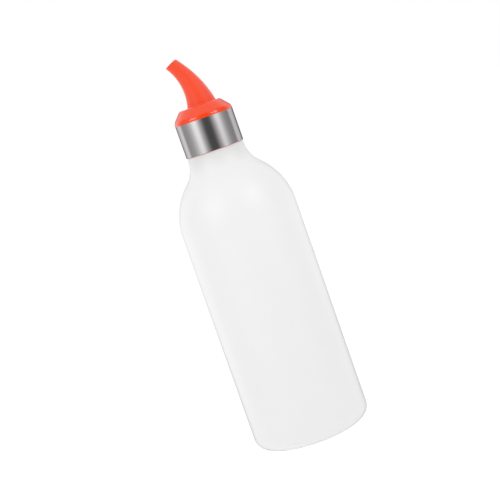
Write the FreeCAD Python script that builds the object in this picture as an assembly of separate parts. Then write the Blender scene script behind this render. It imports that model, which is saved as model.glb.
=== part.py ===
import FreeCAD, Part
import math
import os

from FreeCAD import Placement, Rotation, Vector

# A squeeze bottle for sauces: a soft bottle with a threaded neck, a screw cap in a steel
# collar, and a bent spout that the cap clamps down on a washer.
# Millimetres and degrees. +Z is up, the origin is the centre of the foot, and the spout
# leans towards -X.

# Bottle
body_radius = 32.5
body_top_radius = 32.25
side_height = 123.8
bottle_wall = 1.2
base_corner_radius = 6.0
foot_width = 3.5
push_up_height = 3.0
shoulder_slope = 45.0
slope_length = 2.3
neck_sweep_radius = 15.2
ledge_width = 3.2
ledge_rise = 1.65
ledge_edge_radius = 0.2

# Threaded neck
neck_bore_radius = 10.9
neck_wall = 1.5
neck_height = 19.15
rim_edge_radius = 0.3
thread_pitch = 4.0
thread_depth = 1.1
thread_flank = 30.0
thread_crest_share = 0.3
thread_clearance = 0.25
thread_root_depth = 0.4
neck_thread_start = 3.65
neck_thread_end_gap = 1.9
cap_thread_turns = 1.5
cap_thread_lead_in_turns = 0.25
thread_fade_turns = 0.25
thread_steps_per_turn = 16
thread_fade_least_share = 0.1

# Screw cap
skirt_wall = 1.77
skirt_gap = 0.06
skirt_bead_height = 0.06
skirt_bead_inset = 0.2
crown_height = 7.0
crown_plate = 2.6
crown_lip_height = 1.75
crown_lip_overhang = 0.07
crown_top_land = 1.8
crown_lip_edge_radius = 3.8
crown_top_edge_radius = 1.8
rim_clearance = 0.4

# Steel collar
collar_thickness = 0.5
collar_fit = 0.05
collar_edge_radius = 0.1

# Washer and spout
washer_thickness = 1.5
washer_width = 3.2
flange_thickness = 1.6
flange_step = 0.4
flange_clearance = 0.2
plug_clearance = 0.2
plug_rim = 0.2
spout_foot_radius = 7.95
spout_foot_offset = 1.25
spout_tip_radius = 3.62
spout_taper_power = 1.5
spout_rise = 25.58
spout_lean = 37.6
spout_wall = 1.5
spout_inlet_wall = 1.8
spout_stations = 7
tip_face_lean = 26.0
tip_crown = 0.4
tip_edge_radius = 0.4

# Heights and radii that follow from the sizes above
neck_radius = neck_bore_radius + neck_wall
ledge_radius = neck_radius + ledge_width

slope = math.radians(shoulder_slope)
slope_end_radius = ledge_radius + neck_sweep_radius * (1 - math.cos(slope))
slope_start_radius = slope_end_radius + slope_length * math.sin(slope)
shoulder_radius = (body_top_radius - slope_start_radius) / (1 - math.cos(slope))
slope_start_height = side_height + shoulder_radius * math.sin(slope)
slope_end_height = slope_start_height + slope_length * math.cos(slope)
sweep_height = slope_end_height + neck_sweep_radius * math.sin(slope)
ledge_height = sweep_height + ledge_rise

neck_thread_turns = (neck_height - neck_thread_start - neck_thread_end_gap) / thread_pitch
rim_height = ledge_height + neck_height
skirt_bottom = ledge_height + skirt_gap
washer_top = rim_height + washer_thickness
seat_height = washer_top + flange_thickness
crown_top = seat_height + crown_plate
collar_bottom = skirt_bottom + skirt_bead_height
collar_top = crown_top - crown_height

skirt_bore_radius = neck_radius + thread_depth + thread_clearance
skirt_radius = skirt_bore_radius + skirt_wall
collar_bore_radius = skirt_radius + collar_fit
collar_radius = collar_bore_radius + collar_thickness
crown_lip_radius = collar_radius + crown_lip_overhang
bead_radius = collar_radius - skirt_bead_inset
flange_radius = neck_radius - flange_step
pocket_radius = flange_radius + flange_clearance
plug_radius = spout_foot_radius + spout_foot_offset + plug_rim
crown_hole_radius = plug_radius + plug_clearance
crown_top_radius = crown_hole_radius + crown_top_land

spout_bend_radius = spout_rise / math.sin(math.radians(spout_lean))


def point(radius, height):
    return Vector(radius, 0, height)


def line(start, end):
    return Part.makeLine(start, end)


def arc(centre, radius, from_angle, to_angle):
    """An arc in the XZ plane, from one angle to the other, measured from +X towards +Z."""
    angles = [math.radians(a) for a in (from_angle, (from_angle + to_angle) / 2, to_angle)]
    ends = [centre + radius * Vector(math.cos(a), 0, math.sin(a)) for a in angles]
    return Part.Arc(*ends).toShape()


def dome(edge_radius, edge_height, rise):
    """A shallow arc from the edge of a dome to its top on the axis."""
    half = edge_radius / 2
    sphere_radius = (edge_radius**2 + rise**2) / (2 * rise)
    half_drop = sphere_radius - math.sqrt(sphere_radius**2 - half**2)
    middle = point(half, edge_height + rise - half_drop)
    return Part.Arc(point(edge_radius, edge_height), middle, point(0, edge_height + rise)).toShape()


def turned(edges):
    """The solid that a closed outline in the XZ plane makes when it turns about Z."""
    wire = Part.Wire(Part.__sortEdges__(edges))
    return Part.Face(wire).revolve(Vector(), Vector(0, 0, 1), 360)


def rounding(before, corner, after, radius):
    """The start, middle and end of the arc that rounds a corner."""
    to_before = (before - corner).normalize()
    to_after = (after - corner).normalize()
    half_angle = to_before.getAngle(to_after) / 2
    cut_back = radius / math.tan(half_angle)
    inwards = (to_before + to_after).normalize()
    middle = corner + inwards * (radius / math.sin(half_angle) - radius)
    return corner + to_before * cut_back, middle, corner + to_after * cut_back


def outline(corners):
    """A closed outline in the XZ plane through (corner, rounding radius) pairs."""
    places = [place for place, radius in corners]
    following = places[1:] + places[:1]
    turns = [
        rounding(before, place, after, radius)
        for before, (place, radius), after in zip(places[-1:] + places, corners, following)
    ]
    edges = []
    for number, (start, middle, end) in enumerate(turns):
        last_end = turns[number - 1][2]
        edges.append(line(last_end, start))
        if start != end:
            edges.append(Part.Arc(start, middle, end).toShape())
    return edges


def ring(inner_radius, outer_radius, bottom, top, edge_radius=0):
    """A plain ring about Z, with its two outer edges rounded."""
    return turned(
        outline(
            [
                (point(inner_radius, bottom), 0),
                (point(outer_radius, bottom), edge_radius),
                (point(outer_radius, top), edge_radius),
                (point(inner_radius, top), 0),
            ]
        )
    )


def thread(wall_radius, side, start_height, first_turn, turns):
    """A ridge that winds up a round wall, outwards (side 1) or inwards (side -1).

    start_height is the ridge's middle at angle zero, and both ends fade into the wall."""
    crest_width = thread_pitch * thread_crest_share
    flank_run = math.tan(math.radians(thread_flank))
    steps = round(turns * thread_steps_per_turn)
    sections = []
    for step in range(steps + 1):
        along = turns * step / steps
        full = min(1, along / thread_fade_turns, (turns - along) / thread_fade_turns)
        depth = thread_depth * max(full, thread_fade_least_share)
        root = wall_radius - side * thread_root_depth
        crest = wall_radius + side * depth
        half_crest = crest_width / 2
        half_root = half_crest + (depth + thread_root_depth) * flank_run
        middle = start_height + thread_pitch * (first_turn + along)
        corners = [
            point(root, middle - half_root),
            point(crest, middle - half_crest),
            point(crest, middle + half_crest),
            point(root, middle + half_root),
        ]
        section = Part.makePolygon(corners + corners[:1])
        section.rotate(Vector(), Vector(0, 0, 1), 360 * (first_turn + along))
        sections.append(section)
    return Part.makeLoft(sections, True, False)


def shoulder(wall, top):
    """The shoulder's edges from the side wall up to the height top, moved in by wall."""
    shoulder_centre = point(body_top_radius - shoulder_radius, side_height)
    sweep_centre = point(ledge_radius + neck_sweep_radius, sweep_height)
    slope_in = Vector(math.cos(slope), 0, math.sin(slope)) * wall
    slope_start = point(slope_start_radius, slope_start_height) - slope_in
    slope_end = point(slope_end_radius, slope_end_height) - slope_in
    return [
        arc(shoulder_centre, shoulder_radius - wall, 0, shoulder_slope),
        line(slope_start, slope_end),
        arc(sweep_centre, neck_sweep_radius + wall, 180 + shoulder_slope, 180),
        line(point(ledge_radius - wall, sweep_height), point(ledge_radius - wall, top)),
    ]


def make_bottle():
    foot_outer = body_radius - base_corner_radius
    foot_inner = foot_outer - foot_width
    inner_base = point(body_radius - bottle_wall, base_corner_radius)
    inner_top = point(body_top_radius - bottle_wall, side_height)
    corner_centre = point(foot_outer, base_corner_radius)
    ledge_corner = point(ledge_radius - ledge_edge_radius, ledge_height - ledge_edge_radius)
    rim_side = rim_height - rim_edge_radius
    rim_outer = point(neck_radius - rim_edge_radius, rim_side)
    rim_inner = point(neck_bore_radius + rim_edge_radius, rim_side)
    outside = [
        dome(foot_inner, 0, push_up_height),
        line(point(foot_inner, 0), point(foot_outer, 0)),
        arc(corner_centre, base_corner_radius, -90, 0),
        line(point(body_radius, base_corner_radius), point(body_top_radius, side_height)),
        *shoulder(0, ledge_corner.z),
        arc(ledge_corner, ledge_edge_radius, 0, 90),
        line(point(ledge_corner.x, ledge_height), point(neck_radius, ledge_height)),
        line(point(neck_radius, ledge_height), point(neck_radius, rim_side)),
        arc(rim_outer, rim_edge_radius, 0, 90),
        line(point(rim_outer.x, rim_height), point(rim_inner.x, rim_height)),
        arc(rim_inner, rim_edge_radius, 90, 180),
    ]
    under_ledge = ledge_height - bottle_wall
    inside = [
        line(point(neck_bore_radius, rim_side), point(neck_bore_radius, under_ledge)),
        line(point(neck_bore_radius, under_ledge), point(ledge_radius - bottle_wall, under_ledge)),
        *shoulder(bottle_wall, under_ledge),
        line(inner_top, inner_base),
        arc(corner_centre, base_corner_radius - bottle_wall, -90, 0),
        line(point(foot_outer, bottle_wall), point(foot_inner, bottle_wall)),
        dome(foot_inner, bottle_wall, push_up_height),
        line(point(0, push_up_height), point(0, push_up_height + bottle_wall)),
    ]
    shell = turned(outside + inside)
    ridge = thread(neck_radius, 1, ledge_height + neck_thread_start, 0, neck_thread_turns)
    return shell.fuse(ridge)


def make_screw_cap():
    pocket_bottom = rim_height + rim_clearance
    cap = turned(
        outline(
            [
                (point(skirt_bore_radius, skirt_bottom), 0),
                (point(bead_radius, skirt_bottom), 0),
                (point(bead_radius, collar_bottom), 0),
                (point(skirt_radius, collar_bottom), 0),
                (point(skirt_radius, collar_top), 0),
                (point(crown_lip_radius, collar_top), 0),
                (point(crown_lip_radius, collar_top + crown_lip_height), crown_lip_edge_radius),
                (point(crown_top_radius, crown_top), crown_top_edge_radius),
                (point(crown_hole_radius, crown_top), 0),
                (point(crown_hole_radius, seat_height), 0),
                (point(pocket_radius, seat_height), 0),
                (point(pocket_radius, pocket_bottom), 0),
                (point(skirt_bore_radius, pocket_bottom), 0),
            ]
        )
    )
    groove_start = ledge_height + neck_thread_start - thread_pitch / 2
    ridge = thread(skirt_bore_radius, -1, groove_start, cap_thread_lead_in_turns, cap_thread_turns)
    return cap.fuse(ridge)


def make_steel_collar():
    return ring(collar_bore_radius, collar_radius, collar_bottom, collar_top, collar_edge_radius)


def make_sealing_washer():
    return ring(flange_radius - washer_width, flange_radius, rim_height, washer_top)


def spout_section(along, radius):
    """A circle square to the spout's bend, with along 0 at its foot and 1 at its tip."""
    bend = math.radians(spout_lean * along)
    across = spout_foot_offset - spout_bend_radius * (1 - math.cos(bend))
    centre = point(across, crown_top + spout_bend_radius * math.sin(bend))
    square_to = Vector(-math.sin(bend), 0, math.cos(bend))
    return Part.Wire(Part.makeCircle(radius, centre, square_to))


def spout_radius(along):
    left = max(0, 1 - along)
    return spout_tip_radius + (spout_foot_radius - spout_tip_radius) * left**spout_taper_power


def bent_taper(wall):
    """The spout's bent form, drawn in by wall, from its foot to a little past its tip."""
    past_tip = 1 + spout_tip_radius / spout_rise
    places = [past_tip * station / spout_stations for station in range(spout_stations + 1)]
    sections = [spout_section(along, spout_radius(along) - wall) for along in places]
    return Part.makeLoft(sections, True, False)


def tip_trim():
    """What is cut off past the spout's tip, to leave a slightly crowned end face."""
    reach = spout_tip_radius
    crown_radius = (reach**2 + tip_crown**2) / (2 * tip_crown)
    bend = math.radians(spout_lean)
    tip = point(spout_foot_offset - spout_bend_radius * (1 - math.cos(bend)), crown_top + spout_rise)
    trim = Part.makeCylinder(2 * reach, 3 * reach, Vector(0, 0, -reach))
    trim = trim.cut(Part.makeSphere(crown_radius, Vector(0, 0, -crown_radius)))
    trim.Placement = Placement(tip, Rotation(Vector(0, 1, 0), -tip_face_lean))
    return trim


def make_beak():
    beak = bent_taper(0).cut(tip_trim())
    tip_faces = [face for face in beak.Faces if isinstance(face.Surface, Part.Sphere)]
    tip_edges = [edge for face in tip_faces for edge in face.OuterWire.Edges]
    return beak.makeFillet(tip_edge_radius, tip_edges)


def make_spout():
    flange = Part.makeCylinder(flange_radius, flange_thickness, point(0, washer_top))
    plug = Part.makeCylinder(plug_radius, crown_top - washer_top, point(0, washer_top))
    inlet_bottom = Part.makeCircle(plug_radius - spout_inlet_wall, point(0, washer_top))
    inlet_top = spout_section(0, spout_foot_radius - spout_wall)
    inlet = Part.makeLoft([Part.Wire(inlet_bottom), inlet_top], True, True)
    channel = inlet.fuse(bent_taper(spout_wall))
    return flange.fuse(plug).fuse(make_beak()).cut(channel)


os.makedirs("parts", exist_ok=True)
pieces = {
    "bottle": make_bottle(),
    "screw_cap": make_screw_cap(),
    "steel_collar": make_steel_collar(),
    "sealing_washer": make_sealing_washer(),
    "spout": make_spout(),
}
for name, shape in pieces.items():
    [solid] = shape.Solids
    solid.exportStep("parts/" + name + ".step")
    print(name, "volume", round(solid.Volume), "valid", solid.isValid())
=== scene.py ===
import math

import bmesh
import bpy
from mathutils import Matrix, Vector


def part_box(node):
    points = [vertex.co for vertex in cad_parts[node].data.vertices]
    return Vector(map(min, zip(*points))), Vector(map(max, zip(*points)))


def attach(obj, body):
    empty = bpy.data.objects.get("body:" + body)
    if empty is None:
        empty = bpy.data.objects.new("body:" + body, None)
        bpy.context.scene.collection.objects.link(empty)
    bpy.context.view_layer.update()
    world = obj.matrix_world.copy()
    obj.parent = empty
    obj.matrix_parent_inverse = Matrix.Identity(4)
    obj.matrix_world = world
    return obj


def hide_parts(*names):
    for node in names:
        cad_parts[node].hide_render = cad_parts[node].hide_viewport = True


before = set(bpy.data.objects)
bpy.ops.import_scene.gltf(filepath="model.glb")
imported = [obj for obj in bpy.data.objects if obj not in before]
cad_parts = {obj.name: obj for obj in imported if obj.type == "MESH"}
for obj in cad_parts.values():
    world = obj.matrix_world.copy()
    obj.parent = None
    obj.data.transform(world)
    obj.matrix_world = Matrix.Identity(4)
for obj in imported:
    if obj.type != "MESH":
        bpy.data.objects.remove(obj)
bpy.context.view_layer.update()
scene = bpy.context.scene
print("frame loaded:", ", ".join(sorted(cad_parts)))

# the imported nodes' own extents, in metres
bottleLow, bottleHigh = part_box("bottle")
capLow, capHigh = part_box("screw_cap")
collarLow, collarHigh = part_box("steel_collar")
washerLow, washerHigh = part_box("sealing_washer")
spoutLow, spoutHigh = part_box("spout")

tiny = 1e-6  # closer than this is the same place
weld = tiny / 10  # closer than this is the same vertex
roundProfile = 0.5  # makes a bevel circular
roundingSteps = 8
creaseAngle = 30  # a steeper edge is shaded sharp


# outlines in the XZ plane, as (radius, height), which are turned about Z

def lineTo(bm, vert, radius, height):
    grown = bmesh.ops.extrude_vert_indiv(bm, verts=[vert])["verts"][0]
    grown.co = (radius, 0, height)
    return grown


def arcTo(bm, vert, centre, degrees, steps):
    swept = bmesh.ops.spin(
        bm, geom=[vert], cent=(centre[0], 0, centre[1]), axis=(0, -1, 0),
        angle=math.radians(degrees), steps=steps,
    )
    return next(item for item in swept["geom_last"] if isinstance(item, bmesh.types.BMVert))


def closedOutline(bm, corners):  # corners are (radius, height, cut back)
    verts = [bm.verts.new((radius, 0, height)) for radius, height, cut in corners]
    for vert, after in zip(verts, verts[1:] + verts[:1]):
        bm.edges.new((vert, after))
    for vert, (radius, height, cut) in zip(verts, corners):
        if cut:
            bmesh.ops.bevel(
                bm, geom=[vert], offset=cut, offset_type="OFFSET", affect="VERTICES",
                segments=roundingSteps, profile=roundProfile, material=-1,
            )


def turnOutline(bm, steps):  # turns the loose edges, and leaves what has faces already
    edges = [edge for edge in bm.edges if not edge.link_faces]
    verts = list({vert for edge in edges for vert in edge.verts})
    bmesh.ops.spin(
        bm, geom=verts + edges, cent=(0, 0, 0), axis=(0, 0, 1),
        angle=2 * math.pi, steps=steps, use_merge=True,
    )
    bmesh.ops.remove_doubles(bm, verts=bm.verts[:], dist=weld)
    bmesh.ops.recalc_face_normals(bm, faces=bm.faces[:])


# screw thread

threadShape = {
    "pitch": 0.004,
    "depth": 0.0011,
    "rootDepth": 0.0004,  # how far the ridge is sunk in its wall
    "flank": 30,
    "crestShare": 0.3,
    "crestRounding": 0.0003,
    "crestSteps": 3,
    "fadeTurns": 0.25,
    "leastShare": 0.1,  # of the depth, at the ridge's very ends
    "stepsPerTurn": 48,
}


def screwRidge(wallRadius, side, startHeight, firstTurn, turns):
    shape = threadShape
    bm = bmesh.new()
    crest = wallRadius + side * shape["depth"]
    root = wallRadius - side * shape["rootDepth"]
    halfCrest = shape["pitch"] * shape["crestShare"] / 2
    flankRun = (shape["depth"] + shape["rootDepth"]) * math.tan(math.radians(shape["flank"]))
    halfRoot = halfCrest + flankRun
    closedOutline(bm, [
        (root, -halfRoot, 0), (crest, -halfCrest, 0),
        (crest, halfCrest, 0), (root, halfRoot, 0),
    ])
    steps = round(turns * shape["stepsPerTurn"])
    bmesh.ops.spin(
        bm, geom=bm.verts[:] + bm.edges[:], cent=(0, 0, 0), axis=(0, 0, 1),
        dvec=(0, 0, shape["pitch"] * turns / steps), angle=2 * math.pi * turns, steps=steps,
    )
    bmesh.ops.holes_fill(bm, edges=[edge for edge in bm.edges if edge.is_boundary], sides=4)
    alongCrest = [
        edge for edge in bm.edges
        if all(abs(vert.co.xy.length - crest) < tiny for vert in edge.verts)
        and (edge.verts[0].co.xy - edge.verts[1].co.xy).length > tiny
    ]
    bmesh.ops.bevel(
        bm, geom=alongCrest, offset=shape["crestRounding"], offset_type="OFFSET",
        affect="EDGES", segments=shape["crestSteps"], profile=roundProfile, material=-1,
    )
    for vert in bm.verts:  # the ridge fades into the wall at both ends
        rise = vert.co.z / shape["pitch"]
        angle = math.atan2(vert.co.y, vert.co.x) / (2 * math.pi)
        along = angle + round(rise - angle)
        full = min(1, along / shape["fadeTurns"], (turns - along) / shape["fadeTurns"])
        share = max(full, shape["leastShare"])
        radius = vert.co.xy.length
        proud = max(0, side * (radius - wallRadius))
        vert.co.xy *= (radius - side * proud * (1 - share)) / radius
    bmesh.ops.rotate(
        bm, verts=bm.verts[:], cent=(0, 0, 0),
        matrix=Matrix.Rotation(2 * math.pi * firstTurn, 3, "Z"),
    )
    bmesh.ops.translate(
        bm, verts=bm.verts[:], vec=(0, 0, startHeight + shape["pitch"] * firstTurn)
    )
    bmesh.ops.recalc_face_normals(bm, faces=bm.faces[:])
    return bm


def looseObject(name, bm):
    mesh = bpy.data.meshes.new(name)
    bm.to_mesh(mesh)
    bm.free()
    made = bpy.data.objects.new(name, mesh)
    scene.collection.objects.link(made)
    return made


def united(bm, ridge):  # the wall and its ridge as one closed skin
    wallObject = looseObject("wall", bm)
    ridgeObject = looseObject("ridge", ridge)
    union = wallObject.modifiers.new("union", "BOOLEAN")
    union.operation = "UNION"
    union.solver = "EXACT"
    union.object = ridgeObject
    seen = wallObject.evaluated_get(bpy.context.evaluated_depsgraph_get())
    joined = bmesh.new()
    joined.from_mesh(seen.to_mesh())
    seen.to_mesh_clear()
    for spare in (wallObject, ridgeObject):
        mesh = spare.data
        bpy.data.objects.remove(spare)
        bpy.data.meshes.remove(mesh)
    return joined


def addPiece(name, bm, material, body, node):
    piece = looseObject(name, bm)
    piece.data.materials.append(material)
    piece.data.shade_smooth()
    piece.data.set_sharp_from_angle(angle=math.radians(creaseAngle))
    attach(piece, body)
    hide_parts(node)
    print(name, "made,", len(piece.data.polygons), "faces")


# shader nodes

def addNode(tree, kind, inputs=(), **settings):
    node = tree.nodes.new(kind)
    for name, value in settings.items():
        setattr(node, name, value)
    for name, value in dict(inputs).items():
        node.inputs[name].default_value = value
    return node


def newGroup(name, inputs, outputs):
    group = bpy.data.node_groups.new(name, "ShaderNodeTree")
    for way, sockets in (("INPUT", inputs), ("OUTPUT", outputs)):
        for socket, kind in sockets:
            group.interface.new_socket(socket, in_out=way, socket_type=kind)
    return group, addNode(group, "NodeGroupInput"), addNode(group, "NodeGroupOutput")


def newMaterial(name, inputs):
    material = bpy.data.materials.new(name)
    material.use_nodes = True
    tree = material.node_tree
    tree.nodes.clear()
    surface = addNode(tree, "ShaderNodeBsdfPrincipled", inputs)
    output = addNode(tree, "ShaderNodeOutputMaterial")
    tree.links.new(surface.outputs["BSDF"], output.inputs["Surface"])
    place = addNode(tree, "ShaderNodeTexCoord").outputs["Object"]
    return material, tree, surface, place


def placeGroup(tree, group, place, inputs):
    node = addNode(tree, "ShaderNodeGroup", node_tree=group)
    for name, value in inputs.items():
        node.inputs[name].default_value = value
    tree.links.new(place, node.inputs["Place"])
    return node


def spread(tree, value, low, high):  # a 0 to 1 value over a range
    node = addNode(tree, "ShaderNodeMapRange", {"To Min": low, "To Max": high})
    tree.links.new(value, node.inputs["Value"])
    return node.outputs["Result"]


def twoTone(tree, value, dark, light):
    node = addNode(tree, "ShaderNodeMix", {6: (*dark, 1), 7: (*light, 1)}, data_type="RGBA")
    tree.links.new(value, node.inputs["Factor"])
    return node.outputs[2]


def addShare(tree, base, mask, share):  # base + mask * share
    node = addNode(tree, "ShaderNodeMath", {1: share}, operation="MULTIPLY_ADD")
    tree.links.new(mask, node.inputs[0])
    tree.links.new(base, node.inputs[2])
    return node.outputs[0]


def bumped(tree, height, depth):
    node = addNode(tree, "ShaderNodeBump", {"Strength": 1, "Distance": depth})
    tree.links.new(height, node.inputs["Height"])
    return node.outputs["Normal"]


# mould grain: the fine skin of a moulding, and the slow clouding of its pigment
mouldGrain, groupIn, groupOut = newGroup(
    "mouldGrain",
    [
        ("Place", "NodeSocketVector"),
        ("Grain Scale", "NodeSocketFloat"),
        ("Cloud Scale", "NodeSocketFloat"),
    ],
    [("Grain", "NodeSocketFloat"), ("Cloud", "NodeSocketFloat")],
)
grainDetail, cloudDetail = 2, 3
for size, made, detail in (
    ("Grain Scale", "Grain", grainDetail), ("Cloud Scale", "Cloud", cloudDetail),
):
    noise = addNode(mouldGrain, "ShaderNodeTexNoise", {"Detail": detail})
    mouldGrain.links.new(groupIn.outputs["Place"], noise.inputs["Vector"])
    mouldGrain.links.new(groupIn.outputs[size], noise.inputs["Scale"])
    mouldGrain.links.new(noise.outputs["Fac"], groupOut.inputs[made])

# scuffs: short hairlines from being handled and wiped
scuffNoise = {
    "lines": {"Detail": 1, "Distortion": 1.2},
    "middle": 0.5,  # a hairline runs where the noise crosses this level
    "patches": {"Detail": 2},
}
scuffs, groupIn, groupOut = newGroup(
    "scuffs",
    [
        ("Place", "NodeSocketVector"),
        ("Scale", "NodeSocketFloat"),
        ("Width", "NodeSocketFloat"),
        ("Cover", "NodeSocketFloat"),
    ],
    [("Mask", "NodeSocketFloat")],
)
lines = addNode(scuffs, "ShaderNodeTexNoise", scuffNoise["lines"])
away = addNode(scuffs, "ShaderNodeMath", {1: scuffNoise["middle"]}, operation="SUBTRACT")
apart = addNode(scuffs, "ShaderNodeMath", operation="ABSOLUTE")
hairline = addNode(scuffs, "ShaderNodeMapRange", {"To Min": 1, "To Max": 0})
patches = addNode(scuffs, "ShaderNodeTexNoise", scuffNoise["patches"])
shown = addNode(scuffs, "ShaderNodeMath", operation="GREATER_THAN")
both = addNode(scuffs, "ShaderNodeMath", operation="MULTIPLY")
for noise in (lines, patches):
    scuffs.links.new(groupIn.outputs["Place"], noise.inputs["Vector"])
    scuffs.links.new(groupIn.outputs["Scale"], noise.inputs["Scale"])
scuffs.links.new(lines.outputs["Fac"], away.inputs[0])
scuffs.links.new(away.outputs[0], apart.inputs[0])
scuffs.links.new(apart.outputs[0], hairline.inputs["Value"])
scuffs.links.new(groupIn.outputs["Width"], hairline.inputs["From Max"])
scuffs.links.new(patches.outputs["Fac"], shown.inputs[0])
scuffs.links.new(groupIn.outputs["Cover"], shown.inputs[1])
scuffs.links.new(hairline.outputs["Result"], both.inputs[0])
scuffs.links.new(shown.outputs[0], both.inputs[1])
scuffs.links.new(both.outputs[0], groupOut.inputs["Mask"])


def byHeight(tree, place, heights, values):  # from one value to the next, between two heights
    parts = addNode(tree, "ShaderNodeSeparateXYZ")
    limits = dict(zip(("From Min", "From Max", "To Min", "To Max"), (*heights, *values)))
    share = addNode(tree, "ShaderNodeMapRange", limits)
    tree.links.new(place, parts.inputs["Vector"])
    tree.links.new(parts.outputs["Z"], share.inputs["Value"])
    return share.outputs["Result"]


def paintedShade(tree, place, colour, heights, shadeColour):  # paints shade into a colour, between two heights
    mixed = addNode(tree, "ShaderNodeMix", {7: (*shadeColour, 1)}, data_type="RGBA")
    tree.links.new(byHeight(tree, place, heights, (0, 1)), mixed.inputs["Factor"])
    tree.links.new(colour, mixed.inputs[6])
    return mixed.outputs[2]


def addWear(tree, surface, place, look):  # an uneven gloss with scuffs, on the grain
    grain = placeGroup(tree, mouldGrain, place, {
        "Grain Scale": look["grainScale"], "Cloud Scale": look["cloudScale"],
    })
    worn = placeGroup(tree, scuffs, place, {
        "Scale": look["scuffScale"], "Width": look["scuffWidth"], "Cover": look["scuffCover"],
    })
    gloss = spread(tree, grain.outputs["Cloud"], *look["roughness"])
    rubbed = addShare(tree, gloss, worn.outputs["Mask"], look["scuffShift"])
    tree.links.new(rubbed, surface.inputs["Roughness"])
    return grain


def mouldedPlastic(name, look):
    material, tree, surface, place = newMaterial(name, look["finish"])
    grain = addWear(tree, surface, place, look)
    colour = twoTone(tree, grain.outputs["Cloud"], look["dark"], look["light"])
    if "neck" in look:
        # painted shade: the base colour darkens up the neck, under the cap
        colour = paintedShade(tree, place, colour, look["neckHeights"], look["neck"])
    tree.links.new(colour, surface.inputs["Base Color"])
    if "skin" in look:
        skin = byHeight(tree, place, look["skinHeights"], look["skin"])
        tree.links.new(skin, surface.inputs["Coat Weight"])
    normal = bumped(tree, grain.outputs["Grain"], look["grainDepth"])
    tree.links.new(normal, surface.inputs["Normal"])
    return material


# bottle

bottleShape = {
    "wall": 0.0012,
    "baseCorner": 0.006,
    "footWidth": 0.0035,
    "pushUp": 0.003,
    "sideTaper": 0.00025,
    "slope": 45,
    "slopeLength": 0.0023,
    "neckSweep": 0.0152,
    "ledgeRadius": 0.0156,
    "ledgeRise": 0.00165,
    "capGap": 0.00006,
    "ledgeEdge": 0.0002,
    "neckRadius": 0.0124,
    "neckBore": 0.0109,
    "neckFillet": 0.0004,
    "rimEdge": 0.0003,
    "threadStart": 0.00365,
    "threadEndGap": 0.0019,
    "partingWidth": 0.0005,  # the mould's parting line, up both sides
    "partingHeight": 0.00006,
    "pinchHeight": 0.0004,  # where the mould pinched the base shut
    "pinchShare": 0.8,  # of the pushed-up base's radius
    "domeSteps": 12,
    "cornerSteps": 12,
    "shoulderSteps": 24,
    "sweepSteps": 14,
    "ledgeSteps": 5,
    "filletSteps": 4,
    "rimSteps": 4,
    "turnSteps": 144,
}

bottleLook = {
    "dark": (0.92, 0.92, 0.918),
    "light": (0.955, 0.955, 0.953),
    "neck": (0.785, 0.785, 0.783),  # painted shade: the wall is painted darker towards the cap, where the soft light in it dies away
    "neckHeights": (0.153, 0.1635),
    "roughness": (0.38, 0.47),
    # a thin skin that only shines where it is seen edge on, less so higher up
    "skin": (0.62, 0.04),
    "skinHeights": (0.04, 0.155),
    "finish": {"IOR": 1.5, "Coat IOR": 1.15, "Coat Roughness": 0.08},
    "grainScale": 1800,
    "grainDepth": 0.00001,
    "cloudScale": 28,
    "scuffScale": 70,
    "scuffWidth": 0.003,
    "scuffCover": 0.58,
    "scuffShift": -0.06,
}

slope = math.radians(bottleShape["slope"])
bodyRadius = min(bottleHigh.x, -bottleLow.x) - bottleShape["partingHeight"]
bodyTopRadius = bodyRadius - bottleShape["sideTaper"]
slopeEnd = bottleShape["ledgeRadius"] + bottleShape["neckSweep"] * (1 - math.cos(slope))
slopeStart = slopeEnd + bottleShape["slopeLength"] * math.sin(slope)
shoulderRadius = (bodyTopRadius - slopeStart) / (1 - math.cos(slope))
rimHeight = bottleHigh.z
ledgeHeight = capLow.z - bottleShape["capGap"]
sweepHeight = ledgeHeight - bottleShape["ledgeRise"]
sideHeight = (
    sweepHeight - bottleShape["slopeLength"] * math.cos(slope)
    - (shoulderRadius + bottleShape["neckSweep"]) * math.sin(slope)
)
footOuter = bodyRadius - bottleShape["baseCorner"]
footInner = footOuter - bottleShape["footWidth"]


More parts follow.
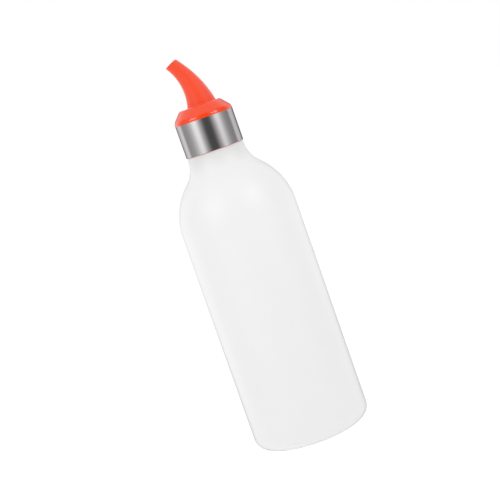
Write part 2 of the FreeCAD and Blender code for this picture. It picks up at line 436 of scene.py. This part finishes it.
def drawSkin(bm, inset, neckRadius, side):  # from the middle of the base to the rim
    shape = bottleShape
    ledgeTop = ledgeHeight - inset
    domeRadius = (footInner ** 2 + shape["pushUp"] ** 2) / (2 * shape["pushUp"])
    domeDegrees = math.degrees(math.asin(footInner / domeRadius))
    fillet, edge, rimEdge = shape["neckFillet"], shape["ledgeEdge"], shape["rimEdge"]
    vert = bm.verts.new((0, 0, shape["pushUp"] + inset))
    domeCentre = (0, shape["pushUp"] + inset - domeRadius)
    vert = arcTo(bm, vert, domeCentre, -domeDegrees, shape["domeSteps"])
    vert = lineTo(bm, vert, footOuter, inset)
    vert = arcTo(bm, vert, (footOuter, shape["baseCorner"]), 90, shape["cornerSteps"])
    vert = lineTo(bm, vert, bodyTopRadius - inset, sideHeight)
    shoulderCentre = (bodyTopRadius - shoulderRadius, sideHeight)
    vert = arcTo(bm, vert, shoulderCentre, shape["slope"], shape["shoulderSteps"])
    vert = lineTo(
        bm, vert, slopeEnd - inset * math.cos(slope),
        sweepHeight - (shape["neckSweep"] + inset) * math.sin(slope),
    )
    sweepCentre = (shape["ledgeRadius"] + shape["neckSweep"], sweepHeight)
    vert = arcTo(bm, vert, sweepCentre, -shape["slope"], shape["sweepSteps"])
    ledgeRadius = shape["ledgeRadius"] - inset
    vert = lineTo(bm, vert, ledgeRadius, ledgeTop - edge)
    ledgeCentre = (ledgeRadius - edge, ledgeTop - edge)
    vert = arcTo(bm, vert, ledgeCentre, 90, shape["ledgeSteps"])
    vert = lineTo(bm, vert, neckRadius + fillet, ledgeTop)
    filletCentre = (neckRadius + fillet, ledgeTop + fillet)
    vert = arcTo(bm, vert, filletCentre, -90, shape["filletSteps"])
    vert = lineTo(bm, vert, neckRadius, rimHeight - rimEdge)
    rimCentre = (neckRadius - side * rimEdge, rimHeight - rimEdge)
    arcTo(bm, vert, rimCentre, side * 90, shape["rimSteps"])
    turnOutline(bm, shape["turnSteps"])


def raiseParting(bm):
    shape = bottleShape
    corner = shape["baseCorner"]
    for side in (-1, 1):
        bmesh.ops.bisect_plane(
            bm, geom=bm.verts[:] + bm.edges[:] + bm.faces[:], dist=weld,
            plane_co=(0, side * shape["partingWidth"] / 2, 0), plane_no=(0, 1, 0),
        )
    bm.normal_update()
    onLine = [vert for vert in bm.verts if abs(vert.co.y) < tiny]
    sides = [
        vert for vert in onLine if corner / 2 < vert.co.z < sweepHeight
        and (abs(vert.co.x) > footOuter or vert.co.z > corner)
    ]
    pinch = [
        vert for vert in onLine if vert.co.z < corner
        and abs(vert.co.x) < shape["pinchShare"] * footInner
    ]
    for verts, height in ((sides, shape["partingHeight"]), (pinch, shape["pinchHeight"])):
        for vert, normal in [(vert, vert.normal.copy()) for vert in verts]:
            vert.co += normal * height


def makeBottle():
    shape = bottleShape
    bm = bmesh.new()
    drawSkin(bm, 0, shape["neckRadius"], 1)
    raiseParting(bm)
    drawSkin(bm, shape["wall"], shape["neckBore"], -1)
    bmesh.ops.bridge_loops(bm, edges=[edge for edge in bm.edges if edge.is_boundary])
    bmesh.ops.recalc_face_normals(bm, faces=bm.faces[:])
    threadStart = ledgeHeight + shape["threadStart"]
    turns = (rimHeight - shape["threadEndGap"] - threadStart) / threadShape["pitch"]
    return united(bm, screwRidge(shape["neckRadius"], 1, threadStart, 0, turns))


addPiece("bottleShell", makeBottle(), mouldedPlastic("milkyPolyethylene", bottleLook),
         "bottle", "bottle")


# screw cap

capShape = {
    "skirtBore": 0.01375,
    "skirtRadius": 0.01552,
    "beadInset": 0.0002,
    "lipHeight": 0.00175,
    "lipEdge": 0.00146,  # cut back from the corner between the lip and the slope
    "topRadius": 0.0114,
    "topEdge": 0.0008,
    "holeRadius": 0.0096,
    "holeEdge": 0.00015,
    "plate": 0.0026,
    "pocketRadius": 0.0122,
    "rimClearance": 0.0004,
    "beadEdge": 0.00002,
    "threadLeadIn": 0.25,
    "threadTurns": 1.5,
    "turnSteps": 144,
}

capLook = {
    "dark": (0.965, 0.057, 0.003),
    "light": (0.99, 0.065, 0.006),
    "roughness": (0.13, 0.2),
    "finish": {"IOR": 1.5, "Coat Weight": 0.27, "Coat Roughness": 0.06},
    "grainScale": 900,
    "grainDepth": 0.000004,
    "cloudScale": 60,
    "scuffScale": 160,
    "scuffWidth": 0.003,
    "scuffCover": 0.6,
    "scuffShift": 0.08,
}


def makeCap():
    shape = capShape
    bm = bmesh.new()
    lipRadius, crownTop = capHigh.x, capHigh.z
    beadRadius = collarHigh.x - shape["beadInset"]
    seatHeight = crownTop - shape["plate"]
    pocketBottom = rimHeight + shape["rimClearance"]
    closedOutline(bm, [
        (shape["skirtBore"], capLow.z, shape["beadEdge"]),
        (beadRadius, capLow.z, shape["beadEdge"]),
        (beadRadius, collarLow.z, 0),
        (shape["skirtRadius"], collarLow.z, 0),
        (shape["skirtRadius"], collarHigh.z, 0),
        (lipRadius, collarHigh.z, 0),
        (lipRadius, collarHigh.z + shape["lipHeight"], shape["lipEdge"]),
        (shape["topRadius"], crownTop, shape["topEdge"]),
        (shape["holeRadius"], crownTop, shape["holeEdge"]),
        (shape["holeRadius"], seatHeight, 0),
        (shape["pocketRadius"], seatHeight, 0),
        (shape["pocketRadius"], pocketBottom, shape["holeEdge"]),
        (shape["skirtBore"], pocketBottom, 0),
    ])
    turnOutline(bm, shape["turnSteps"])
    grooveStart = ledgeHeight + bottleShape["threadStart"] - threadShape["pitch"] / 2
    ridge = screwRidge(
        shape["skirtBore"], -1, grooveStart, shape["threadLeadIn"], shape["threadTurns"]
    )
    return united(bm, ridge)


addPiece("capCrown", makeCap(), mouldedPlastic("redGloss", capLook),
         "cap", "screw_cap")


# steel collar

collarShape = {
    "wall": 0.0005,
    "topEdge": 0.00004,
    "bottomEdge": 0.00003,
    "innerEdge": 0.0001,
    "turnSteps": 180,
}

collarLook = {
    "dark": (0.568, 0.55, 0.552),
    "light": (0.668, 0.649, 0.651),
    "roughness": (0.16, 0.26),
    "finish": {
        "Metallic": 1, "Specular Tint": (0.4, 0.4, 0.4, 1),
        "Anisotropic": 0.6, "Anisotropic Rotation": 0.25,
    },
    "lineScale": 9000,
    "lineDepth": 0.000002,
    "lineNoise": {"Scale": 1, "Detail": 3, "Roughness": 0.6},
    "grainScale": 4000,
    "cloudScale": 120,
    "scuffScale": 200,
    "scuffWidth": 0.003,
    "scuffCover": 0.57,
    "scuffShift": 0.03,
}


def makeCollar():
    shape = collarShape
    bm = bmesh.new()
    radius, bore = collarHigh.x, collarHigh.x - shape["wall"]
    closedOutline(bm, [
        (bore, collarLow.z, shape["innerEdge"]), (radius, collarLow.z, shape["bottomEdge"]),
        (radius, collarHigh.z, shape["topEdge"]), (bore, collarHigh.z, shape["innerEdge"]),
    ])
    turnOutline(bm, shape["turnSteps"])
    return bm


def brushedSteel():
    look = collarLook
    material, tree, surface, place = newMaterial("brushedSteel", look["finish"])
    addWear(tree, surface, place, look)
    parts = addNode(tree, "ShaderNodeSeparateXYZ")
    tree.links.new(place, parts.inputs["Vector"])
    around = addNode(tree, "ShaderNodeMath", operation="ARCTAN2")
    tree.links.new(parts.outputs["Y"], around.inputs[0])
    tree.links.new(parts.outputs["X"], around.inputs[1])
    lay = addNode(tree, "ShaderNodeCombineXYZ")  # brushed round the sleeve
    height = addNode(tree, "ShaderNodeMath", {1: look["lineScale"]}, operation="MULTIPLY")
    tree.links.new(parts.outputs["Z"], height.inputs[0])
    tree.links.new(around.outputs[0], lay.inputs["X"])
    tree.links.new(height.outputs[0], lay.inputs["Z"])
    lines = addNode(tree, "ShaderNodeTexNoise", look["lineNoise"])
    tree.links.new(lay.outputs[0], lines.inputs["Vector"])
    colour = twoTone(tree, lines.outputs["Fac"], look["dark"], look["light"])
    tree.links.new(colour, surface.inputs["Base Color"])
    normal = bumped(tree, lines.outputs["Fac"], look["lineDepth"])
    tree.links.new(normal, surface.inputs["Normal"])
    return material


addPiece("collarSleeve", makeCollar(), brushedSteel(), "cap", "steel_collar")


# sealing washer

washerShape = {
    "bore": 0.0088,
    "edge": 0.0003,
    "turnSteps": 96,
}

washerLook = {
    "dark": (0.74, 0.74, 0.72),
    "light": (0.84, 0.84, 0.82),
    "roughness": (0.5, 0.62),
    "finish": {"IOR": 1.41},
    "grainScale": 2200,
    "grainDepth": 0.000008,
    "cloudScale": 150,
    "scuffScale": 220,
    "scuffWidth": 0.004,
    "scuffCover": 0.6,
    "scuffShift": -0.08,
}


def makeWasher():
    bm = bmesh.new()
    bore, edge = washerShape["bore"], washerShape["edge"]
    closedOutline(bm, [
        (bore, washerLow.z, edge), (washerHigh.x, washerLow.z, edge),
        (washerHigh.x, washerHigh.z, edge), (bore, washerHigh.z, edge),
    ])
    turnOutline(bm, washerShape["turnSteps"])
    return bm


addPiece("washerRing", makeWasher(), mouldedPlastic("milkySilicone", washerLook),
         "seal", "sealing_washer")


# spout

spoutShape = {
    "flangeThickness": 0.0016,
    "flangeEdge": 0.0002,
    "plugRadius": 0.0094,
    "plugEdge": 0.00015,
    "footRadius": 0.00795,
    "footOffset": 0.00125,
    "footFillet": 0.0003,
    "tipRadius": 0.00362,
    "taperPower": 1.5,
    "rise": 0.02558,
    "lean": 37.6,
    "wall": 0.0015,
    "inletWall": 0.0018,
    "tipLean": 26,
    "squareFrom": 0.6,  # of the way up, where the rings start to turn towards the end face
    "tipCrown": 0.0004,
    "tipEdge": 0.0004,
    "edgeSinkShare": 1 / 3,  # of the tip's edge, between its rounding and the end face
    "faceShare": 1.1,  # of the tip's edge, where the end face starts
    "outletEdge": 0.0002,
    "outletDepthShare": 2,  # of the outlet's edge
    "ringSteps": 72,
    "beakRings": 40,
    "footSteps": 4,
    "tipSteps": 6,
}

spoutLook = {
    "dark": (0.98, 0.066, 0.012),
    "light": (1, 0.074, 0.018),
    "roughness": (0.48, 0.56),
    "finish": {"IOR": 1.38, "Sheen Weight": 0.5, "Sheen Roughness": 0.5},
    "grainScale": 1400,
    "grainDepth": 0.000006,
    "cloudScale": 60,
    "scuffScale": 160,
    "scuffWidth": 0.003,
    "scuffCover": 0.6,
    "scuffShift": 0.06,
}


def ringPlace(across, height, lean, radius, stretch=1):  # where a unit circle goes
    turn = Matrix.Rotation(-math.radians(lean), 4, "Y")
    size = Matrix.Diagonal((radius * stretch, radius, radius, 1))
    return Matrix.Translation((across, 0, height)) @ turn @ size


def beakRadius(along):
    shape = spoutShape
    taper = max(0, 1 - along) ** shape["taperPower"]
    return shape["tipRadius"] + (shape["footRadius"] - shape["tipRadius"]) * taper


def beakPlace(along, inset):
    shape = spoutShape
    bendRadius = shape["rise"] / math.sin(math.radians(shape["lean"]))
    bend = math.radians(shape["lean"] * along)
    across = shape["footOffset"] - bendRadius * (1 - math.cos(bend))
    height = capHigh.z + bendRadius * math.sin(bend)
    squareness = max(0, (along - shape["squareFrom"]) / (1 - shape["squareFrom"]))
    lean = shape["lean"] * along + (shape["tipLean"] - shape["lean"]) * squareness ** 2
    stretch = 1 / math.cos(math.radians(shape["lean"] * along - lean))
    return ringPlace(across, height, lean, beakRadius(along) - inset, stretch)


def tipPlace(radius, drop):  # on the end face, drop below its middle
    shape = spoutShape
    end = beakPlace(1, 0).to_translation()
    lean = math.radians(shape["tipLean"])
    across = end.x + drop * math.sin(lean)
    return ringPlace(across, end.z - drop * math.cos(lean), shape["tipLean"], radius)


def spoutRings():
    shape = spoutShape
    bottom, top = spoutLow.z, capHigh.z
    shoulderHeight = bottom + shape["flangeThickness"]
    flange, edge, plug = spoutHigh.x, shape["flangeEdge"], shape["plugRadius"]
    rings = [
        (flange - edge, bottom), (flange, bottom + edge), (flange, shoulderHeight - edge),
        (flange - edge, shoulderHeight), (plug, shoulderHeight),
        (plug, top - shape["plugEdge"]), (plug - shape["plugEdge"], top),
    ]
    places = [ringPlace(0, height, 0, radius) for radius, height in rings]
    fillet = shape["footFillet"]
    for step in range(shape["footSteps"]):  # the beak's foot sweeps out a little on the plug
        turn = math.radians(90 * step / shape["footSteps"])
        radius = shape["footRadius"] + fillet * (1 - math.sin(turn))
        height = top + fillet * (1 - math.cos(turn))
        places.append(ringPlace(shape["footOffset"], height, 0, radius))
    last = 1 - (shape["tipEdge"] + shape["tipCrown"]) / shape["rise"]
    first = fillet / shape["rise"]
    for step in range(shape["beakRings"] + 1):
        places.append(beakPlace(first + (last - first) * step / shape["beakRings"], 0))
    rim, edge = shape["tipRadius"], shape["tipEdge"]
    sink = edge * shape["edgeSinkShare"]
    for step in range(1, shape["tipSteps"]):  # round the end's edge, then over its low crown
        turn = math.radians(90 * step / shape["tipSteps"])
        drop = shape["tipCrown"] + edge * (1 - math.sin(turn)) - sink
        places.append(tipPlace(rim - edge * (1 - math.cos(turn)), drop))
    outlet = rim - shape["wall"]
    faceEdge = rim - edge * shape["faceShare"]
    for radius in (faceEdge, (rim + outlet) / 2, outlet + shape["outletEdge"]):
        places.append(tipPlace(radius, shape["tipCrown"] * (radius / rim) ** 2))
    places.append(tipPlace(outlet, shape["outletEdge"] * shape["outletDepthShare"]))
    for step in range(shape["beakRings"], -1, -1):  # back down the channel
        places.append(beakPlace(last * step / shape["beakRings"], shape["wall"]))
    places.append(ringPlace(0, bottom, 0, plug - shape["inletWall"]))
    return places


def makeSpout():
    bm = bmesh.new()
    places = spoutRings()
    bmesh.ops.create_circle(bm, segments=spoutShape["ringSteps"], radius=1)
    bmesh.ops.transform(bm, verts=bm.verts[:], matrix=places[0])
    edges = bm.edges[:]
    for before, after in zip(places, places[1:]):
        grown = bmesh.ops.extrude_edge_only(bm, edges=edges)["geom"]
        verts = [item for item in grown if isinstance(item, bmesh.types.BMVert)]
        edges = [item for item in grown if isinstance(item, bmesh.types.BMEdge)
                 and all(vert in verts for vert in item.verts)]
        bmesh.ops.transform(bm, verts=verts, matrix=after @ before.inverted())
    bmesh.ops.bridge_loops(bm, edges=[edge for edge in bm.edges if edge.is_boundary])
    bmesh.ops.recalc_face_normals(bm, faces=bm.faces[:])
    return bm


addPiece("spoutBeak", makeSpout(), mouldedPlastic("redSatin", spoutLook),
         "spout", "spout")


# floor, light and camera

studio = {
    "floorSize": 6,
    "floorSegments": 2,
    "floorDrop": 0.0002,
    "floorColour": (0.25, 0.25, 0.25, 1),
    "floorRoughness": 0.9,
    "floorGlow": 0.85,  # as the camera sees it
    "floorLight": 0.8,  # what it throws up on the object
    # how bright the walls are, by the angle away from the camera's side
    "walls": [
        (0, 0.088), (13, 0.098), (31, 0.61), (42, 1.13), (51, 1.13), (64, 0.7), (80, 0.42),
        (105, 0.34), (116, 0.98), (148, 1.08), (155, 0.26), (180, 0.26),
    ],
    # the same below eye level, where the pale table is mirrored
    "lowWalls": [(0, 0.07), (40, 0.3), (75, 0.7), (135, 0.65), (150, 0.2), (180, 0.2)],
    "lowEdge": (-0.12, -0.4),  # the sine of the elevation where it starts and is full
    "leftShare": 0.12,  # how much brighter the left wall is, and darker the right one
    "roomShift": -0.07,  # the object stands a little off the room's middle
    "ceilingStrength": 0.96,
    "ceilingTilt": 16,  # towards the back
    "ceilingEdge": (0.38, 0.85),
    "boxSides": [(-46, 0.37), (46, 0.46)],  # each softbox's angle and power
    "boxElevation": 33,
    "boxDistance": 0.55,
    "boxSize": (0.23, 0.17),
}

cameraView = {
    "target": (-0.00024, 0, 0.10571),
    "distance": 0.6781,
    "elevation": 6.99,
    "roll": -19.4,  # the bottle leans to the left in the picture
    "lens": 90.26,
    "sensor": 36,
}


white = (1, 1, 1, 1)


def makeFloor():
    bm = bmesh.new()
    segments = studio["floorSegments"]
    bmesh.ops.create_grid(
        bm, x_segments=segments, y_segments=segments, size=studio["floorSize"] / 2,
    )
    bmesh.ops.translate(bm, verts=bm.verts[:], vec=(0, 0, -studio["floorDrop"]))
    floor = looseObject("floor", bm)
    material, tree, surface, place = newMaterial("paleFloor", {
        "Base Color": studio["floorColour"], "Roughness": studio["floorRoughness"],
        "Specular IOR Level": 0, "Emission Color": white,
    })
    seen = addNode(tree, "ShaderNodeLightPath").outputs["Is Camera Ray"]
    glow = spread(tree, seen, studio["floorLight"], studio["floorGlow"])
    tree.links.new(glow, surface.inputs["Emission Strength"])
    floor.data.materials.append(material)
    floor.visible_glossy = False


# a ring of walls, from the camera's side to the back

def wallLevels(tree, share, strength, levels):
    ramp = addNode(tree, "ShaderNodeValToRGB")
    stops = ramp.color_ramp.elements
    while len(stops) < len(levels):
        stops.new(0.5)  # each is put in its place below
    for stop, (degrees, level) in zip(stops, levels):
        stop.position = math.radians(degrees) / math.pi
        stop.color = (level, level, level, 1)
    ring = addNode(tree, "ShaderNodeBackground")
    tree.links.new(share, ramp.inputs["Fac"])
    tree.links.new(ramp.outputs["Color"], ring.inputs["Color"])
    tree.links.new(strength, ring.inputs["Strength"])
    return ring.outputs[0]


# from one light to another, by the sine of the elevation

def mixedAt(tree, height, edge, below, above):
    limits = dict(zip(("From Min", "From Max"), edge))
    share = addNode(tree, "ShaderNodeMapRange", limits, interpolation_type="SMOOTHSTEP")
    mixed = addNode(tree, "ShaderNodeMixShader")
    tree.links.new(height, share.inputs["Value"])
    tree.links.new(share.outputs["Result"], mixed.inputs["Fac"])
    tree.links.new(below, mixed.inputs[1])
    tree.links.new(above, mixed.inputs[2])
    return mixed.outputs[0]


def makeStudioWalls():
    world = bpy.data.worlds.new("studio")
    scene.world = world
    world.use_nodes = True
    tree = world.node_tree
    tree.nodes.clear()
    place = addNode(tree, "ShaderNodeTexCoord")
    shifted = addNode(tree, "ShaderNodeVectorMath", {1: (studio["roomShift"], 0, 0)})
    parts = addNode(tree, "ShaderNodeSeparateXYZ")
    towards = addNode(tree, "ShaderNodeMath", {1: -1}, operation="MULTIPLY")
    angle = addNode(tree, "ShaderNodeMath", operation="ARCTAN2")
    eitherSide = addNode(tree, "ShaderNodeMath", operation="ABSOLUTE")
    share = addNode(tree, "ShaderNodeMath", {1: math.pi}, operation="DIVIDE")
    strength = addNode(tree, "ShaderNodeMath", {1: -studio["leftShare"], 2: 1},
                       operation="MULTIPLY_ADD")
    tilt = math.radians(studio["ceilingTilt"])
    overhead = addNode(tree, "ShaderNodeVectorMath", {1: (0, math.sin(tilt), math.cos(tilt))},
                       operation="DOT_PRODUCT")
    for start, end in (
        (place.outputs["Generated"], shifted.inputs[0]),
        (place.outputs["Generated"], overhead.inputs[0]),
        (shifted.outputs["Vector"], parts.inputs["Vector"]),
        (parts.outputs["Y"], towards.inputs[0]),
        (parts.outputs["X"], angle.inputs[0]),
        (parts.outputs["X"], strength.inputs[0]),
        (towards.outputs[0], angle.inputs[1]),
        (angle.outputs[0], eitherSide.inputs[0]),
        (eitherSide.outputs[0], share.inputs[0]),
    ):
        tree.links.new(start, end)
    walls = wallLevels(tree, share.outputs[0], strength.outputs[0], studio["walls"])
    lowWalls = wallLevels(tree, share.outputs[0], strength.outputs[0], studio["lowWalls"])
    ceiling = addNode(tree, "ShaderNodeBackground",
                      {"Color": white, "Strength": studio["ceilingStrength"]})
    room = mixedAt(tree, parts.outputs["Z"], studio["lowEdge"], walls, lowWalls)
    room = mixedAt(
        tree, overhead.outputs["Value"], studio["ceilingEdge"], room, ceiling.outputs[0],
    )
    backdrop = addNode(tree, "ShaderNodeBackground", {"Color": white})
    path = addNode(tree, "ShaderNodeLightPath")
    seen = addNode(tree, "ShaderNodeMixShader")
    output = addNode(tree, "ShaderNodeOutputWorld")
    tree.links.new(path.outputs["Is Camera Ray"], seen.inputs["Fac"])
    tree.links.new(room, seen.inputs[1])
    tree.links.new(backdrop.outputs[0], seen.inputs[2])
    tree.links.new(seen.outputs[0], output.inputs["Surface"])


def makeSoftboxes():
    elevation = math.radians(studio["boxElevation"])
    for number, (degrees, power) in enumerate(studio["boxSides"]):
        data = bpy.data.lights.new("softbox" + str(number), "AREA")
        data.shape = "RECTANGLE"
        data.size, data.size_y = studio["boxSize"]
        data.energy = power
        box = bpy.data.objects.new(data.name, data)
        scene.collection.objects.link(box)
        turn = math.radians(degrees)
        away = Vector((math.sin(turn) * math.cos(elevation),
                       -math.cos(turn) * math.cos(elevation), math.sin(elevation)))
        box.location = Vector(cameraView["target"]) + away * studio["boxDistance"]
        box.rotation_euler = away.to_track_quat("Z", "Y").to_euler()


def makeCamera():
    data = bpy.data.cameras.new("camera")
    data.lens = cameraView["lens"]
    data.sensor_width = cameraView["sensor"]
    camera = bpy.data.objects.new("camera", data)
    scene.collection.objects.link(camera)
    elevation = math.radians(cameraView["elevation"])
    back = Vector((0, -math.cos(elevation), math.sin(elevation))) * cameraView["distance"]
    turn = Matrix.Rotation(math.pi / 2 - elevation, 4, "X")
    roll = Matrix.Rotation(math.radians(cameraView["roll"]), 4, "Z")
    place = Matrix.Translation(Vector(cameraView["target"]) + back)
    camera.matrix_world = place @ turn @ roll
    scene.camera = camera


makeFloor()
makeStudioWalls()
makeSoftboxes()
makeCamera()
scene.view_settings.view_transform = "Standard"
print("studio made")
